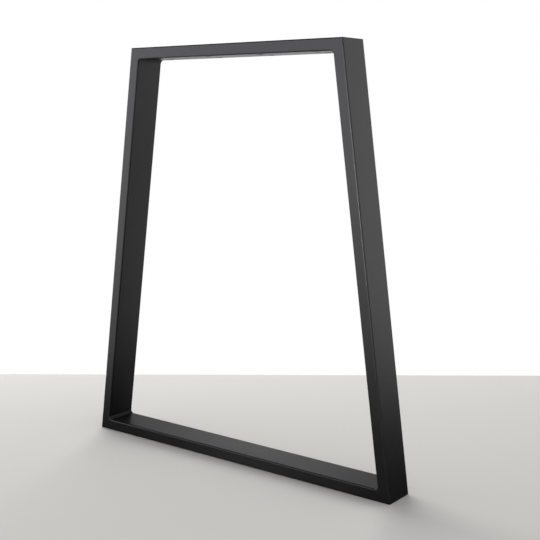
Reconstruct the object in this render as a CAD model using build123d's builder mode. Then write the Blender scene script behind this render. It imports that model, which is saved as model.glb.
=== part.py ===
"""Trapezoid table leg: a closed frame of four mitred steel tubes, fillet-welded in its inner corners.

Millimetres. The origin is on the floor under the middle of the frame, X runs along its width,
Y along the depth of the tube and Z up to the table top.
"""

import os
from math import atan2, cos, hypot, sin

from build123d import *

# Outline of the frame, over its outer faces
height = 720.0
top_width = 450.0
bottom_width = 650.0

# Tube section: the narrow face looks along Y, the deep one across the frame
tube_face = 20.0
tube_depth = 60.0
tube_wall = 1.5
corner_radius = 2.4
smallest_bore_radius = 0.2

# Outer mitre corners, dressed after welding
ground_radius = 1.0

# Screw holes in the top rail: a clear hole above, an access hole for the screw's head below
hole_columns = 4
hole_rows = 2
hole_pitch = 112.5
hole_row_spacing = 30.0
screw_hole_diameter = 6.0
access_hole_diameter = 11.0
access_hole_deburr = 0.4
access_hole_deburr_angle = 90.0

# Fillet welds in the inner corners, dressed to the tube's own rounding at the front and back
weld_leg = 5.0
weld_face_radius = 12.0

# Lean of each leg from the vertical, and its length along the outer face
half_spread = (bottom_width - top_width) / 2
lean = atan2(half_spread, height)
leg_length = hypot(half_spread, height)
leg_up = Vector(-sin(lean), 0, cos(lean))
leg_outward = Vector(cos(lean), 0, sin(lean))


def top_corner(inset):
    """Right top corner of the frame's outline, set in by the given distance from both faces."""
    return Vector(top_width / 2 - inset * (1 - sin(lean)) / cos(lean), 0, height - inset)


def bottom_corner(inset):
    """Right bottom corner of the frame's outline, set in by the given distance from both faces."""
    return Vector(bottom_width / 2 - inset * (1 + sin(lean)) / cos(lean), 0, inset)


# Mitre planes halve the corners, with the leg on their upper side
top_mitre = Plane(top_corner(0), x_dir=(0, 1, 0), z_dir=leg_outward + Vector(0, 0, -1))
bottom_mitre = Plane(bottom_corner(0), x_dir=(0, 1, 0), z_dir=leg_outward + Vector(0, 0, 1))


def tube_section(outer_point, outward, along, inset=0.0):
    """Outline of the tube, its outer narrow side through outer_point, set in by the given distance."""
    with BuildSketch(Plane(outer_point, x_dir=outward, z_dir=along)) as section:
        with Locations((-tube_face / 2, 0)):
            RectangleRounded(
                tube_face - 2 * inset,
                tube_depth - 2 * inset,
                max(corner_radius - inset, smallest_bore_radius),
            )
    return section.sketch


# Outline that the outer corners are ground to
with BuildPart() as ground_outline:
    with BuildSketch(Plane.XZ):
        with BuildLine():
            Polyline(
                (top_width / 2, height),
                (-top_width / 2, height),
                (-bottom_width / 2, 0),
                (bottom_width / 2, 0),
                close=True,
            )
        make_face()
        fillet(vertices(), ground_radius)
    extrude(amount=tube_depth, both=True)

# Top rail, under the table top: the full bar first, then its bore and screw holes
top_line = ((0, 0, height), (0, 0, 1), (-1, 0, 0))
with BuildPart() as top_bar:
    extrude(tube_section(*top_line), amount=top_width / 2 + tube_face, both=True)
    split(bisect_by=top_mitre, keep=Keep.BOTTOM)
    split(bisect_by=Plane.YZ, keep=Keep.TOP)
    mirror(about=Plane.YZ)
    add(ground_outline.part, mode=Mode.INTERSECT)

with BuildPart() as top_rail:
    add(top_bar.part)
    extrude(tube_section(*top_line, tube_wall), amount=top_width, both=True, mode=Mode.SUBTRACT)
    with Locations(Plane((0, 0, height))):
        with GridLocations(hole_pitch, hole_row_spacing, hole_columns, hole_rows):
            Hole(screw_hole_diameter / 2, depth=tube_face / 2)
    with Locations(Plane((0, 0, height - tube_face), z_dir=(0, 0, -1))):
        with GridLocations(hole_pitch, hole_row_spacing, hole_columns, hole_rows):
            CounterSinkHole(
                access_hole_diameter / 2,
                access_hole_diameter / 2 + access_hole_deburr,
                depth=tube_face / 2,
                counter_sink_angle=access_hole_deburr_angle,
            )

# Bottom rail, on the floor
bottom_line = ((0, 0, 0), (0, 0, -1), (1, 0, 0))
with BuildPart() as bottom_bar:
    extrude(tube_section(*bottom_line), amount=bottom_width / 2 + tube_face, both=True)
    split(bisect_by=bottom_mitre, keep=Keep.BOTTOM)
    split(bisect_by=Plane.YZ, keep=Keep.TOP)
    mirror(about=Plane.YZ)
    add(ground_outline.part, mode=Mode.INTERSECT)

with BuildPart() as bottom_rail:
    add(bottom_bar.part)
    extrude(tube_section(*bottom_line, tube_wall), amount=bottom_width, both=True, mode=Mode.SUBTRACT)

# Legs, leaning in towards the top
leg_line = ((top_corner(0) + bottom_corner(0)) / 2, leg_outward, leg_up)
with BuildPart() as leg_bar:
    extrude(tube_section(*leg_line), amount=leg_length / 2 + tube_face, both=True)
    split(bisect_by=top_mitre, keep=Keep.TOP)
    split(bisect_by=bottom_mitre, keep=Keep.TOP)
    add(ground_outline.part, mode=Mode.INTERSECT)

with BuildPart() as right_leg:
    add(leg_bar.part)
    extrude(tube_section(*leg_line, tube_wall), amount=leg_length, both=True, mode=Mode.SUBTRACT)

with BuildPart() as left_leg:
    mirror(right_leg.part, about=Plane.YZ)


def flat(point):
    """A point of the frame's middle plane in that plane's own two directions."""
    return (point.X, point.Z)


def corner_weld(corner, leg_run, into_rail, rail_bar):
    """Slightly hollow fillet weld between a rail and the right leg.

    Its blank reaches into both bars, past the tube's rounding, and what lies in the bars is cut away.
    """
    inner = corner(tube_face)
    root = corner_radius + tube_wall
    rail_toe = inner - Vector(weld_leg, 0, 0)
    leg_toe = inner + leg_run * weld_leg
    with BuildPart() as weld:
        with BuildSketch(Plane.XZ):
            with BuildLine():
                RadiusArc(flat(rail_toe), flat(leg_toe), weld_face_radius * into_rail)
                Polyline(
                    flat(leg_toe),
                    flat(leg_toe + leg_outward * root),
                    flat(corner(tube_face - root)),
                    flat(rail_toe + Vector(0, 0, root * into_rail)),
                    flat(rail_toe),
                )
            make_face()
        extrude(amount=tube_depth / 2, both=True)
        fillet(weld.edges().filter_by(GeomType.CIRCLE), corner_radius)
        add(rail_bar.part, mode=Mode.SUBTRACT)
        add(leg_bar.part, mode=Mode.SUBTRACT)
    return weld


weld_top_right = corner_weld(top_corner, -leg_up, 1, top_bar)
weld_bottom_right = corner_weld(bottom_corner, leg_up, -1, bottom_bar)

with BuildPart() as weld_top_left:
    mirror(weld_top_right.part, about=Plane.YZ)

with BuildPart() as weld_bottom_left:
    mirror(weld_bottom_right.part, about=Plane.YZ)

pieces = {
    "top_rail": top_rail,
    "bottom_rail": bottom_rail,
    "left_leg": left_leg,
    "right_leg": right_leg,
    "weld_top_left": weld_top_left,
    "weld_top_right": weld_top_right,
    "weld_bottom_left": weld_bottom_left,
    "weld_bottom_right": weld_bottom_right,
}
os.makedirs("parts", exist_ok=True)
for name, piece in pieces.items():
    piece.part.label = name
    export_step(piece.part, f"parts/{name}.step")
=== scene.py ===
"""Looks of a black trapezoid table leg: powder coat, weld beads, floor, light and camera.

Laid out as an add-on and run as a script. Lengths are in metres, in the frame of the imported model:
X along the frame's width, Y along the tube's depth towards the back, Z up from the floor.
"""

import math

import bmesh
import bpy
from bpy.props import FloatProperty, FloatVectorProperty, IntProperty, PointerProperty
from mathutils import Euler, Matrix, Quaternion, Vector


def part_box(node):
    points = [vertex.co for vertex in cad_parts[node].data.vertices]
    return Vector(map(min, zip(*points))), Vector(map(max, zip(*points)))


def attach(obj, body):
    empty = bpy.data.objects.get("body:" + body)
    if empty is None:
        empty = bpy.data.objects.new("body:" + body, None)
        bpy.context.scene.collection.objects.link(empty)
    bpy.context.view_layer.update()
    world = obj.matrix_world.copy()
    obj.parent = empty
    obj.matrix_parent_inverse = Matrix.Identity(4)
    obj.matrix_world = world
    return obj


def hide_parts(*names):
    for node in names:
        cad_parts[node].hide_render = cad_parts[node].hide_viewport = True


bl_info = {
    "name": "Trapezoid Table Leg",
    "version": (1, 0, 0),
    "blender": (4, 5, 0),
    "location": "View3D > Sidebar > Table Leg",
    "description": "Coats the tubes of a table leg, lays its weld beads and sets up a studio",
    "category": "Object",
}

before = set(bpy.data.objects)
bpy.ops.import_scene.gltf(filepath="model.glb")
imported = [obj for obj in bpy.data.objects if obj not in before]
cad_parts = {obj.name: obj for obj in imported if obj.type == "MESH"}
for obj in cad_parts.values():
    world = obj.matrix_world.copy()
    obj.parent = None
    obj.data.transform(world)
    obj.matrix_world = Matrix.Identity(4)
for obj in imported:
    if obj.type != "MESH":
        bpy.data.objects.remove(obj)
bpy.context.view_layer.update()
COAT_SLOT = "black_powder_coat"
BODY = "root"

TUBES = ("top_rail", "bottom_rail", "left_leg", "right_leg")
SIDES = {"left": -1, "right": 1}
LEVEL_TOLERANCE = 1e-5
WHITE = (1.0, 1.0, 1.0)

# Values of the noise between which the coat turns from thick to thin
CLOUD_STEP = (0.35, 0.65)

# Wander of a bead's edges in radians for each ripple, and the angle past which its faces meet in an edge
WANDER_RATE = 1.7
SHARP_ANGLE = math.radians(50)

# Soft steps in the light of the floor, over a distance
LEFT_STEP = (-0.2, 0.4)
LEFT_FOOT_STEP = (0.4, 1.5)
SET_BACK_STEP = (0.6, 3.0)
BEHIND_STEP = (0.15, 0.55)
AROUND_STEP = (0.1, 0.9)

# Soft steps in the light of the surroundings, over the cosine of the angle to a direction
BELOW_STEP = (-0.6, -0.1)
ABOVE_STEP = (0.28, 0.46)
OVERHEAD_STEP = (0.3, 0.65)
BACK_STEP = (-0.2, 0.4)
FILL_STEP = (0.5, 0.95)
POOL_STEP = (0.0, 0.18)
DIM_RISE_STEP = (0.05, 0.25)
DIM_BACK_STEP = (0.6, 0.9)
WINDOW_STEP = (0.6, 0.9)
TINT_STEP = (0.3, 0.9)
SOFTBOX_STEP = (0.82, 0.9)

# Shares of the light of the surroundings that are left below and above the level band
BELOW_SHARE = 0.15
ABOVE_SHARE = 0.1


class LegCoat(bpy.types.PropertyGroup):
    """Powder coat outside, bare steel inside the tube"""

    colour: FloatVectorProperty(
        name="Colour",
        description="Colour of the powder coat",
        subtype="COLOR",
        min=0.0,
        max=1.0,
        default=(0.0042, 0.0042, 0.0044),
    )
    thin_colour: FloatVectorProperty(
        name="Thin Colour",
        description="Colour where the coat is a little thinner",
        subtype="COLOR",
        min=0.0,
        max=1.0,
        default=(0.0060, 0.0059, 0.0058),
    )
    roughness: FloatProperty(
        name="Roughness",
        description="Middle roughness of the coat",
        subtype="FACTOR",
        min=0.0,
        max=1.0,
        default=0.38,
    )
    roughness_spread: FloatProperty(
        name="Roughness Spread",
        description="How far the roughness drifts over the surface",
        subtype="FACTOR",
        min=0.0,
        max=0.5,
        default=0.06,
    )
    cloud_size: FloatProperty(
        name="Cloud Size",
        description="Size of the slow drifts in thickness and sheen",
        unit="LENGTH",
        default=0.075,
    )
    peel_size: FloatProperty(
        name="Peel Size",
        description="Size of the soft waves left by the melted powder",
        unit="LENGTH",
        default=0.0045,
    )
    grain_size: FloatProperty(
        name="Grain Size",
        description="Size of the fine grain of the coat",
        unit="LENGTH",
        default=0.0009,
    )
    peel_share: FloatProperty(
        name="Peel Share",
        description="Share of the waves in the relief; the rest is grain",
        subtype="FACTOR",
        min=0.0,
        max=1.0,
        default=0.55,
    )
    relief: FloatProperty(
        name="Relief",
        description="Height of the grain and the waves together",
        unit="LENGTH",
        precision=6,
        default=0.000100,
    )
    steel_colour: FloatVectorProperty(
        name="Steel Colour",
        description="Bare steel inside the tube, seen through the screw holes",
        subtype="COLOR",
        min=0.0,
        max=1.0,
        default=(0.20, 0.195, 0.19),
    )
    steel_roughness: FloatProperty(
        name="Steel Roughness",
        description="Roughness of the bare steel",
        subtype="FACTOR",
        min=0.0,
        max=1.0,
        default=0.45,
    )
    hole_reach: FloatProperty(
        name="Hole Reach",
        description="How far the coat reaches into the screw holes",
        unit="LENGTH",
        default=0.001,
    )
    hole_fade: FloatProperty(
        name="Hole Fade",
        description="Distance over which the coat fades to bare steel",
        unit="LENGTH",
        default=0.0004,
    )


class LegWeld(bpy.types.PropertyGroup):
    """Weld beads in the inner corners of the frame"""

    leg: FloatProperty(
        name="Leg",
        description="Width of the bead on each tube",
        unit="LENGTH",
        default=0.005,
    )
    face_radius: FloatProperty(
        name="Face Radius",
        description="Radius of the hollow face of the bead",
        unit="LENGTH",
        default=0.012,
    )
    root: FloatProperty(
        name="Root",
        description="How deep the bead sits in the tubes",
        unit="LENGTH",
        default=0.0007,
    )
    end_radius: FloatProperty(
        name="End Radius",
        description="Rounding of the bead's two ends, the same as the tube's",
        unit="LENGTH",
        precision=4,
        default=0.0024,
    )
    end_inset: FloatProperty(
        name="End Inset",
        description="How far the bead's ends stay behind the front and back of the tubes",
        unit="LENGTH",
        precision=5,
        default=0.00005,
    )
    ripple_pitch: FloatProperty(
        name="Ripple Pitch",
        description="Distance from one ripple to the next",
        unit="LENGTH",
        default=0.0021,
    )
    ripple_height: FloatProperty(
        name="Ripple Height",
        description="Height of the ripples",
        unit="LENGTH",
        precision=5,
        default=0.00012,
    )
    ripple_bow: FloatProperty(
        name="Ripple Bow",
        description="How far the middle of a ripple runs ahead of its ends",
        unit="LENGTH",
        default=0.0016,
    )
    toe_wander: FloatProperty(
        name="Toe Wander",
        description="How far the bead's edges wander",
        unit="LENGTH",
        precision=5,
        default=0.00025,
    )
    rows_per_ripple: IntProperty(
        name="Rows per Ripple",
        description="Rows of faces along each ripple",
        min=4,
        default=9,
    )
    end_rows: IntProperty(
        name="End Rows",
        description="Rows of faces around the rounding of each end",
        min=2,
        default=8,
    )
    columns: IntProperty(
        name="Columns",
        description="Faces across the bead",
        min=4,
        default=14,
    )


class LegStage(bpy.types.PropertyGroup):
    """Floor, light and camera"""

    floor_colour: FloatVectorProperty(
        name="Floor Colour",
        description="Colour of the plain floor",
        subtype="COLOR",
        min=0.0,
        max=1.0,
        default=(0.715, 0.703, 0.674),
    )
    floor_roughness: FloatProperty(
        name="Floor Roughness",
        description="Roughness of the plain floor",
        subtype="FACTOR",
        min=0.0,
        max=1.0,
        default=0.8,
    )
    floor_specular: FloatProperty(
        name="Floor Specular",
        description="How much the plain floor mirrors",
        subtype="FACTOR",
        min=0.0,
        max=1.0,
        default=0.2,
    )
    floor_behind: FloatProperty(
        name="Floor Behind",
        description="How far the floor runs on behind the leg",
        unit="LENGTH",
        default=0.575,
    )
    floor_reach: FloatProperty(
        name="Floor Reach",
        description="How far the floor runs to the front and to each side",
        unit="LENGTH",
        default=8.0,
    )
    floor_steps: IntProperty(
        name="Floor Steps",
        description="Straight pieces of the floor's round edge",
        min=8,
        default=96,
    )
    floor_drop: FloatProperty(
        name="Floor Drop",
        description="Hair's breadth between the bottom rail and the floor",
        unit="LENGTH",
        precision=5,
        default=0.0001,
    )
    foot_place: FloatVectorProperty(
        name="Foot Place",
        description="Middle of the dark part of the floor",
        subtype="TRANSLATION",
        unit="LENGTH",
        default=(0.1, 0.0, 0.0),
    )
    card_base: FloatProperty(
        name="Card Base",
        description="Light from the floor all round",
        default=0.06,
    )
    card_left: FloatProperty(
        name="Card Left",
        description="Light from the floor on the window's side",
        default=1.0,
    )
    card_behind: FloatProperty(
        name="Card Behind",
        description="Light from the floor behind",
        default=1.2,
    )
    set_back: FloatProperty(
        name="Set Back",
        description="How much further off the light part of the floor behind begins on the right",
        unit="LENGTH",
        default=0.4,
    )
    card_glow: FloatProperty(
        name="Card Glow",
        description="Light from the soft glow in front of the bottom rail",
        default=0.23,
    )
    glow_place: FloatVectorProperty(
        name="Glow Place",
        description="Middle of the soft glow",
        subtype="TRANSLATION",
        unit="LENGTH",
        default=(0.03, -0.06, 0.0),
    )
    glow_reach: FloatProperty(
        name="Glow Reach",
        description="How far the soft glow spreads",
        unit="LENGTH",
        default=0.36,
    )
    room_light: FloatProperty(
        name="Room Light",
        description="Light from the room in front",
        default=1.1,
    )
    fill_light: FloatProperty(
        name="Fill Light",
        description="Light added by the pale room on the right",
        default=0.4,
    )
    fill_turn: FloatProperty(
        name="Fill Turn",
        description="Turn of that light to the right of the camera",
        unit="ROTATION",
        default=math.radians(20.0),
    )
    backdrop_light: FloatProperty(
        name="Backdrop Light",
        description="Light from the backdrop behind",
        default=1.2,
    )
    backdrop_top: FloatProperty(
        name="Backdrop Top",
        description="Light from the upper part of the backdrop",
        default=0.08,
    )
    backdrop_pool: FloatProperty(
        name="Backdrop Pool",
        description="Light from the bright pool in the upper part of the backdrop",
        default=1.1,
    )
    overhead: FloatProperty(
        name="Overhead",
        description="Light from the dim band below the softbox",
        default=0.06,
    )
    window_light: FloatProperty(
        name="Window Light",
        description="Light of the window",
        default=1.5,
    )
    window_colour: FloatVectorProperty(
        name="Window Colour",
        description="Cool tint of the light from the window's side",
        subtype="COLOR",
        min=0.0,
        max=1.0,
        default=(0.947, 0.94, 1.0),
    )
    window_azimuth: FloatProperty(
        name="Window Azimuth",
        description="Turn of the window to the left",
        unit="ROTATION",
        default=math.radians(39.0),
    )
    window_elevation: FloatProperty(
        name="Window Elevation",
        description="Height of the window's middle above the horizon",
        unit="ROTATION",
        default=math.radians(15.0),
    )
    softbox_light: FloatProperty(
        name="Softbox Light",
        description="Light of the softbox above",
        default=0.8,
    )
    softbox_place: FloatVectorProperty(
        name="Softbox Place",
        description="Direction to the softbox's middle",
        subtype="DIRECTION",
        default=(0.3, 0.0, 0.954),
    )
    lamp_power: FloatProperty(
        name="Lamp Power",
        description="Power of the wide lamp behind, which lights the floor",
        unit="POWER",
        default=230.0,
    )
    lamp_place: FloatVectorProperty(
        name="Lamp Place",
        description="Middle of the wide lamp: to the right, away from the camera and up",
        subtype="TRANSLATION",
        unit="LENGTH",
        default=(-1.2, 3.6, 1.7),
    )
    lamp_size: FloatVectorProperty(
        name="Lamp Size",
        description="Width and height of the wide lamp",
        size=2,
        unit="LENGTH",
        default=(5.0, 2.0),
    )
    strip_power: FloatProperty(
        name="Strip Power",
        description="Power of the strip lamp in front, which draws a light line down the right leg's edge",
        unit="POWER",
        default=0.34,
    )
    strip_place: FloatVectorProperty(
        name="Strip Place",
        description="Middle of the strip lamp",
        subtype="TRANSLATION",
        unit="LENGTH",
        default=(0.31, -1.13, 0.52),
    )
    strip_size: FloatVectorProperty(
        name="Strip Size",
        description="Width and height of the strip lamp",
        size=2,
        unit="LENGTH",
        default=(0.22, 0.4),
    )
    strip_spread: FloatProperty(
        name="Strip Spread",
        description="Spread of the strip lamp, narrow so that it misses the bottom rail",
        unit="ROTATION",
        default=math.radians(30.0),
    )
    black_point: FloatProperty(
        name="Black Point",
        description="Light that the camera still shows as black",
        precision=4,
        default=0.0022,
    )
    camera_place: FloatVectorProperty(
        name="Camera Place",
        description="Where the camera stands",
        subtype="TRANSLATION",
        unit="LENGTH",
        default=(1.0844, -1.3315, 0.6018),
    )
    camera_azimuth: FloatProperty(
        name="Camera Azimuth",
        description="Turn of the view from straight along Y",
        unit="ROTATION",
        default=math.radians(37.43),
    )
    camera_elevation: FloatProperty(
        name="Camera Elevation",
        description="How far the camera looks down",
        unit="ROTATION",
        default=math.radians(8.75),
    )
    camera_roll: FloatProperty(
        name="Camera Roll",
        description="Turn of the camera about its own line of sight",
        unit="ROTATION",
        default=math.radians(0.16),
    )
    camera_lens: FloatProperty(
        name="Camera Lens",
        description="Focal length on a 36 mm wide sensor",
        default=66.94,
        unit="CAMERA",
    )


class Signal:
    """A value in a node tree; Python arithmetic on it adds the Math nodes"""

    def __init__(self, tree, socket=None):
        self.tree = tree
        self.socket = socket

    def node(self, kind, settings=None, sockets=None, output=0):
        """Adds a node, sets its settings, fills its sockets with values or links, and gives one output."""
        made = self.tree.nodes.new(kind)
        for name, value in (settings or {}).items():
            setattr(made, name, value)
        for name, value in (sockets or {}).items():
            if isinstance(value, Signal):
                self.tree.links.new(value.socket, made.inputs[name])
            else:
                made.inputs[name].default_value = value
        return Signal(self.tree, made.outputs[output] if made.outputs else None)

    def math(self, operation, *values):
        """A Math node on this tree."""
        return self.node("ShaderNodeMath", {"operation": operation}, dict(enumerate(values)))

    def __add__(self, other):
        return self.math("ADD", self, other)

    def __radd__(self, other):
        return self.math("ADD", other, self)

    def __sub__(self, other):
        return self.math("SUBTRACT", self, other)

    def __rsub__(self, other):
        return self.math("SUBTRACT", other, self)

    def __mul__(self, other):
        return self.math("MULTIPLY", self, other)

    def __rmul__(self, other):
        return self.math("MULTIPLY", other, self)

    def __abs__(self):
        return self.math("ABSOLUTE", self)

    def least(self, other):
        """The smaller of two values."""
        return self.math("MINIMUM", self, other)

    def ramp(self, low, high, start=0.0, end=1.0):
        """A soft step: start below low, end above high."""
        return self.node(
            "ShaderNodeMapRange",
            {"interpolation_type": "SMOOTHSTEP"},
            {"Value": self, "From Min": low, "From Max": high, "To Min": start, "To Max": end},
        )

    def dot(self, direction):
        """How far this vector goes along a fixed direction."""
        sockets = {0: self, 1: direction}
        return self.node("ShaderNodeVectorMath", {"operation": "DOT_PRODUCT"}, sockets, output="Value")

    def distance(self, point):
        """How far these coordinates are from a fixed point."""
        sockets = {0: self, 1: point}
        return self.node("ShaderNodeVectorMath", {"operation": "DISTANCE"}, sockets, output="Value")

    def scale(self, factor):
        """This colour or vector times a value."""
        return self.node("ShaderNodeVectorMath", {"operation": "SCALE"}, {0: self, "Scale": factor})

    def noise(self, size, detail=2.0):
        """Noise over these coordinates, with lumps of about the given size."""
        sockets = {"Vector": self, "Scale": 1 / size, "Detail": detail}
        return self.node("ShaderNodeTexNoise", None, sockets)

    def mix(self, first, second):
        """A colour from first to second as this value goes from 0 to 1."""
        colours = {0: self, 6: first, 7: second}
        return self.node("ShaderNodeMix", {"data_type": "RGBA"}, colours, output=2)


def opaque(colour):
    """A colour with full alpha."""
    return (*colour, 1.0)


def new_tree(owner):
    """An empty node tree on a material or a world."""
    owner.use_nodes = True
    owner.node_tree.nodes.clear()
    return Signal(owner.node_tree)


def inside_tube(place, node):
    """Depth of a point below the outer faces of a level tube, negative outside it."""
    low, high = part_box(node)
    y = place.node("ShaderNodeSeparateXYZ", None, {"Vector": place}, output="Y")
    z = place.node("ShaderNodeSeparateXYZ", None, {"Vector": place}, output="Z")
    return (y - low.y).least(high.y - y).least((z - low.z).least(high.z - z))


def powder_coat(coat, name, drilled=None):
    """Black powder coat; a drilled tube shows bare steel inside its holes."""
    material = bpy.data.materials.new(name)
    tree = new_tree(material)
    place = tree.node("ShaderNodeTexCoord", output="Object")
    cloud = place.noise(coat.cloud_size)
    peel = place.noise(coat.peel_size, detail=1.0)
    grain = place.noise(coat.grain_size, detail=1.0)
    colour = cloud.ramp(*CLOUD_STEP).mix(opaque(coat.colour), opaque(coat.thin_colour))
    roughness = coat.roughness + coat.roughness_spread * (cloud + grain - 1.0)
    height = coat.peel_share * peel + (1 - coat.peel_share) * grain
    normal = tree.node("ShaderNodeBump", None, {"Strength": 1.0, "Distance": coat.relief, "Height": height})
    sockets = {"Base Color": colour, "Roughness": roughness, "Normal": normal}
    if drilled:
        bare = inside_tube(place, drilled).ramp(coat.hole_reach, coat.hole_reach + coat.hole_fade)
        sockets["Base Color"] = bare.mix(colour, opaque(coat.steel_colour))
        sockets["Metallic"] = bare
        sockets["Roughness"] = roughness + bare * (coat.steel_roughness - coat.roughness)
    shader = tree.node("ShaderNodeBsdfPrincipled", None, sockets)
    tree.node("ShaderNodeOutputMaterial", None, {"Surface": shader})
    return material


def dress(piece, material):
    """Gives a piece one material."""
    piece.data.materials.clear()
    piece.data.materials.append(material)


class LEG_OT_coat_tubes(bpy.types.Operator):
    """Coat the two rails and the two legs"""

    bl_idname = "table_leg.coat_tubes"
    bl_label = "Coat Tubes"

    def execute(self, context):
        coat = context.scene.leg_coat
        plain = powder_coat(coat, COAT_SLOT)
        drilled = powder_coat(coat, f"{COAT_SLOT}_drilled", drilled="top_rail")
        for name in TUBES:
            dress(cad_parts[name], drilled if name == "top_rail" else plain)
        return {"FINISHED"}


def inner_corner(rail, level):
    """Right inner corner of the frame, where a rail's inner face ends."""
    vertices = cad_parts[rail].data.vertices
    reach = max(v.co.x for v in vertices if abs(v.co.z - level) < LEVEL_TOLERANCE)
    return Vector((reach, 0.0, level))


def bead_rows(weld, half_depth):
    """Places along a bead, each with the drop of its face there: level, then rounded like the tube."""
    level = half_depth - weld.end_radius
    steps = round(2 * level / weld.ripple_pitch * weld.rows_per_ripple)
    rows = [(level * (2 * step / steps - 1), 0.0) for step in range(steps + 1)]
    full_turn = math.asin(1 - weld.end_inset / weld.end_radius)
    for step in range(1, weld.end_rows + 1):
        turn = full_turn * step / weld.end_rows
        along = level + weld.end_radius * math.sin(turn)
        drop = weld.end_radius * (1 - math.cos(turn))
        rows = [(-along, drop), *rows, (along, drop)]
    return rows


def arch(share):
    """A curve that rises from 0 to 1 half-way along and falls to 0 again."""
    return 4 * share * (1 - share)


def bead_outline(weld, corner, rail_run, leg_run, along, drop):
    """Closed outline across a bead at one place along it."""
    rail_normal = (leg_run - rail_run * leg_run.dot(rail_run)).normalized()
    leg_normal = (rail_run - leg_run * rail_run.dot(leg_run)).normalized()
    wander = weld.toe_wander * math.sin(along / weld.ripple_pitch * WANDER_RATE)
    rail_toe = corner + rail_run * (weld.leg + wander)
    leg_toe = corner + leg_run * (weld.leg - wander)
    chord = leg_toe - rail_toe
    sag = weld.face_radius - math.sqrt(weld.face_radius**2 - chord.length_squared / 4)
    crest = weld.ripple_height * (1 - drop / weld.end_radius)
    points = []
    for column in range(weld.columns + 1):
        across = column / weld.columns
        dome = arch(across)
        phase = (along - weld.ripple_bow * dome) / weld.ripple_pitch % 1.0
        rise = crest * math.sqrt(dome) * (arch(phase) - 0.5) - sag * dome - drop
        outward = rail_normal.lerp(leg_normal, across).normalized()
        points.append(rail_toe + chord * across + outward * rise)
    leg_root = points[-1] - leg_normal * weld.root
    rail_root = points[0] - rail_normal * weld.root
    corner_root = corner - (rail_normal + leg_normal) * (weld.root + drop)
    return [*points, leg_root, corner_root, rail_root]


def lay_bead(weld, name, corner, rail_run, leg_run, half_depth, side, material):
    """One weld bead as a closed mesh; side is 1 on the right of the frame and -1 on its left."""
    mesh = bmesh.new()
    rings = []
    for along, drop in bead_rows(weld, half_depth):
        outline = bead_outline(weld, corner, rail_run, leg_run, along, drop)
        rings.append([mesh.verts.new((side * point.x, along, point.z)) for point in outline])
    count = len(rings[0])
    for near, far in zip(rings, rings[1:]):
        for i in range(count):
            mesh.faces.new((near[i], near[(i + 1) % count], far[(i + 1) % count], far[i]))
    for ring in (rings[0], rings[-1]):
        mesh.faces.new(ring)
    bmesh.ops.recalc_face_normals(mesh, faces=mesh.faces)
    data = bpy.data.meshes.new(name)
    mesh.to_mesh(data)
    mesh.free()
    data.shade_smooth()
    data.set_sharp_from_angle(angle=SHARP_ANGLE)
    bead = bpy.data.objects.new(name, data)
    bpy.context.scene.collection.objects.link(bead)
    dress(bead, material)
    return bead


class LEG_OT_lay_welds(bpy.types.Operator):
    """Lay a rippled weld bead in each inner corner of the frame"""

    bl_idname = "table_leg.lay_welds"
    bl_label = "Lay Welds"

    def execute(self, context):
        weld = context.scene.leg_weld
        material = powder_coat(context.scene.leg_coat, f"{COAT_SLOT}_weld")
        top = inner_corner("top_rail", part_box("top_rail")[0].z)
        bottom = inner_corner("bottom_rail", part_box("bottom_rail")[1].z)
        leg_up = (top - bottom).normalized()
        rail_run = Vector((-1.0, 0.0, 0.0))
        for level, corner, leg_run in (("top", top, -leg_up), ("bottom", bottom, leg_up)):
            for word, side in SIDES.items():
                node = f"weld_{level}_{word}"
                name = f"bead_{level}_{word}"
                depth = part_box(node)[1].y
                bead = lay_bead(weld, name, corner, rail_run, leg_run, depth, side, material)
                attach(bead, BODY)
                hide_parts(node)
        return {"FINISHED"}


def view_axes(stage):
    """Level directions across the picture and away from the camera."""
    sine, cosine = math.sin(stage.camera_azimuth), math.cos(stage.camera_azimuth)
    return Vector((cosine, sine, 0.0)), Vector((-sine, cosine, 0.0))


def bearing(azimuth, elevation):
    """Unit vector towards a light, its azimuth counted to the left from straight in front of the leg."""
    return Euler((-elevation, 0.0, -azimuth)).to_matrix() @ Vector((0.0, -1.0, 0.0))


def pale_floor(stage):
    """Pale to the camera; to the leg, a card that is dark around its foot and lighter further off."""
    material = bpy.data.materials.new("pale_floor")
    tree = new_tree(material)
    across, away = view_axes(stage)
    place = tree.node("ShaderNodeTexCoord", output="Object")
    from_foot = place.distance(stage.foot_place)
    to_window = place.dot(bearing(stage.window_azimuth, 0.0))
    left = to_window.ramp(*LEFT_STEP) * from_foot.ramp(*LEFT_FOOT_STEP)
    set_back = place.dot(across).ramp(*SET_BACK_STEP, 0.0, stage.set_back)
    behind = (place.dot(away) - set_back).ramp(*BEHIND_STEP)
    around = from_foot.ramp(*AROUND_STEP)
    glow = place.distance(stage.glow_place).ramp(0.0, stage.glow_reach, stage.card_glow, 0.0)
    brightness = left * stage.card_left + behind * stage.card_behind + around * stage.card_base + glow
    card = tree.node("ShaderNodeEmission", None, {"Color": brightness})
    sockets = {
        "Base Color": opaque(stage.floor_colour),
        "Roughness": stage.floor_roughness,
        "Specular IOR Level": stage.floor_specular,
    }
    floor = tree.node("ShaderNodeBsdfPrincipled", None, sockets)
    seen = tree.node("ShaderNodeLightPath", output="Is Camera Ray")
    shader = tree.node("ShaderNodeMixShader", None, {0: seen, 1: card, 2: floor})
    tree.node("ShaderNodeOutputMaterial", None, {"Surface": shader})
    return material


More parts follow.
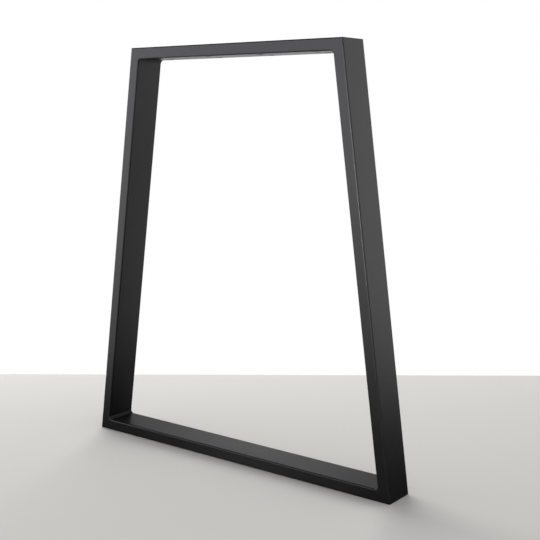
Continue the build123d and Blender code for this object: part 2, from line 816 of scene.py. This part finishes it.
def lay_floor(stage):
    """A plain floor, round in front and with a straight far edge across the view."""
    across, away = view_axes(stage)
    edge = math.asin(stage.floor_behind / stage.floor_reach)
    points = []
    for step in range(stage.floor_steps + 1):
        turn = (math.pi + 2 * edge) * step / stage.floor_steps - math.pi - edge
        rim = (across * math.cos(turn) + away * math.sin(turn)) * stage.floor_reach
        points.append(rim - Vector((0.0, 0.0, stage.floor_drop)))
    data = bpy.data.meshes.new("floor")
    data.from_pydata(points, [], [range(len(points))])
    floor = bpy.data.objects.new("floor", data)
    bpy.context.scene.collection.objects.link(floor)
    dress(floor, pale_floor(stage))


def light_studio(stage):
    """White to the camera; to the leg, a backdrop behind, a window on the left and a softbox overhead."""
    world = bpy.data.worlds.new("studio")
    bpy.context.scene.world = world
    tree = new_tree(world)
    way = tree.node("ShaderNodeTexCoord", output="Generated")
    height = way.node("ShaderNodeSeparateXYZ", None, {"Vector": way}, output="Z")
    across, away = view_axes(stage)
    back = way.dot(away)
    right = bearing(-stage.camera_azimuth - stage.fill_turn, 0.0)
    level = height.ramp(*BELOW_STEP, BELOW_SHARE, 1.0) * height.ramp(*ABOVE_STEP, 1.0, ABOVE_SHARE)
    fill = way.dot(right).ramp(*FILL_STEP, 0.0, stage.fill_light)
    backdrop = (back.ramp(*BACK_STEP, stage.room_light, stage.backdrop_light) + fill) * level
    pool = abs(way.dot(across)).ramp(*POOL_STEP, stage.backdrop_pool, stage.backdrop_top)
    dimmed = height.ramp(*DIM_RISE_STEP) * back.ramp(*DIM_BACK_STEP)
    up = height.ramp(*OVERHEAD_STEP)
    to_window = way.dot(bearing(stage.window_azimuth, stage.window_elevation))
    window = to_window.ramp(*WINDOW_STEP, 0.0, stage.window_light)
    softbox = way.dot(stage.softbox_place).ramp(*SOFTBOX_STEP, 0.0, stage.softbox_light)
    shade = backdrop + dimmed * (pool - backdrop) + window
    seen = tree.node("ShaderNodeLightPath", output="Is Camera Ray")
    brightness = seen + (1 - seen) * (shade + up * (stage.overhead - shade) + softbox)
    tint = ((1 - seen) * to_window.ramp(*TINT_STEP)).mix(opaque(WHITE), opaque(stage.window_colour))
    light = tree.node("ShaderNodeBackground", None, {"Color": tint.scale(brightness)})
    tree.node("ShaderNodeOutputWorld", None, {"Surface": light})


def set_tones(stage):
    """Plain tones, with the darkest let down to black."""
    view = bpy.context.scene.view_settings
    view.view_transform = "Standard"
    view.use_curve_mapping = True
    view.curve_mapping.black_level = [stage.black_point] * 3
    view.curve_mapping.update()


def hang_lamp(name, power, size, place, facing):
    """A rectangular lamp that the camera doesn't see."""
    data = bpy.data.lights.new(name, "AREA")
    data.shape = "RECTANGLE"
    data.size, data.size_y = size
    data.energy = power
    lamp = bpy.data.objects.new(name, data)
    bpy.context.scene.collection.objects.link(lamp)
    lamp.location = place
    lamp.rotation_euler = facing.to_track_quat("-Z", "Y").to_euler()
    lamp.visible_camera = False
    return lamp


def hang_lamps(stage):
    """A wide lamp behind, which no surface mirrors, and a strip lamp in front, which is only mirrored."""
    across, away = view_axes(stage)
    right, back, up = stage.lamp_place
    place = across * right + away * back + Vector((0.0, 0.0, up))
    wide = hang_lamp("wide_lamp", stage.lamp_power, stage.lamp_size, place, -place)
    wide.visible_glossy = False
    to_leg = Vector((0.0, 1.0, 0.0))
    strip = hang_lamp("strip_lamp", stage.strip_power, stage.strip_size, stage.strip_place, to_leg)
    strip.data.spread = stage.strip_spread
    strip.visible_diffuse = False


def place_camera(stage):
    """The camera at the photograph's viewing angle."""
    camera = bpy.data.objects.new("camera", bpy.data.cameras.new("camera"))
    bpy.context.scene.collection.objects.link(camera)
    camera.data.lens = stage.camera_lens
    camera.location = stage.camera_place
    aim = Euler((math.pi / 2 - stage.camera_elevation, 0.0, stage.camera_azimuth)).to_quaternion()
    camera.rotation_mode = "QUATERNION"
    camera.rotation_quaternion = aim @ Quaternion((0.0, 0.0, 1.0), stage.camera_roll)
    bpy.context.scene.camera = camera


class LEG_OT_set_stage(bpy.types.Operator):
    """Set up the floor, the light and the camera"""

    bl_idname = "table_leg.set_stage"
    bl_label = "Set Stage"

    def execute(self, context):
        stage = context.scene.leg_stage
        lay_floor(stage)
        light_studio(stage)
        set_tones(stage)
        hang_lamps(stage)
        place_camera(stage)
        return {"FINISHED"}


class LEG_PT_panel(bpy.types.Panel):
    """Lists the steps that dress the table leg"""

    bl_label = "Table Leg"
    bl_idname = "LEG_PT_panel"
    bl_space_type = "VIEW_3D"
    bl_region_type = "UI"
    bl_category = "Table Leg"

    def draw(self, context):
        column = self.layout.column()
        for step in (LEG_OT_coat_tubes, LEG_OT_lay_welds, LEG_OT_set_stage):
            column.operator(step.bl_idname)


CLASSES = (LegCoat, LegWeld, LegStage, LEG_OT_coat_tubes, LEG_OT_lay_welds, LEG_OT_set_stage, LEG_PT_panel)
SETTINGS = {"leg_coat": LegCoat, "leg_weld": LegWeld, "leg_stage": LegStage}


def register():
    for cls in CLASSES:
        bpy.utils.register_class(cls)
    for name, group in SETTINGS.items():
        setattr(bpy.types.Scene, name, PointerProperty(type=group))


def unregister():
    for name in SETTINGS:
        delattr(bpy.types.Scene, name)
    for cls in reversed(CLASSES):
        bpy.utils.unregister_class(cls)


def main():
    register()
    bpy.ops.table_leg.coat_tubes()
    bpy.ops.table_leg.lay_welds()
    bpy.ops.table_leg.set_stage()


if __name__ == "__main__":
    main()
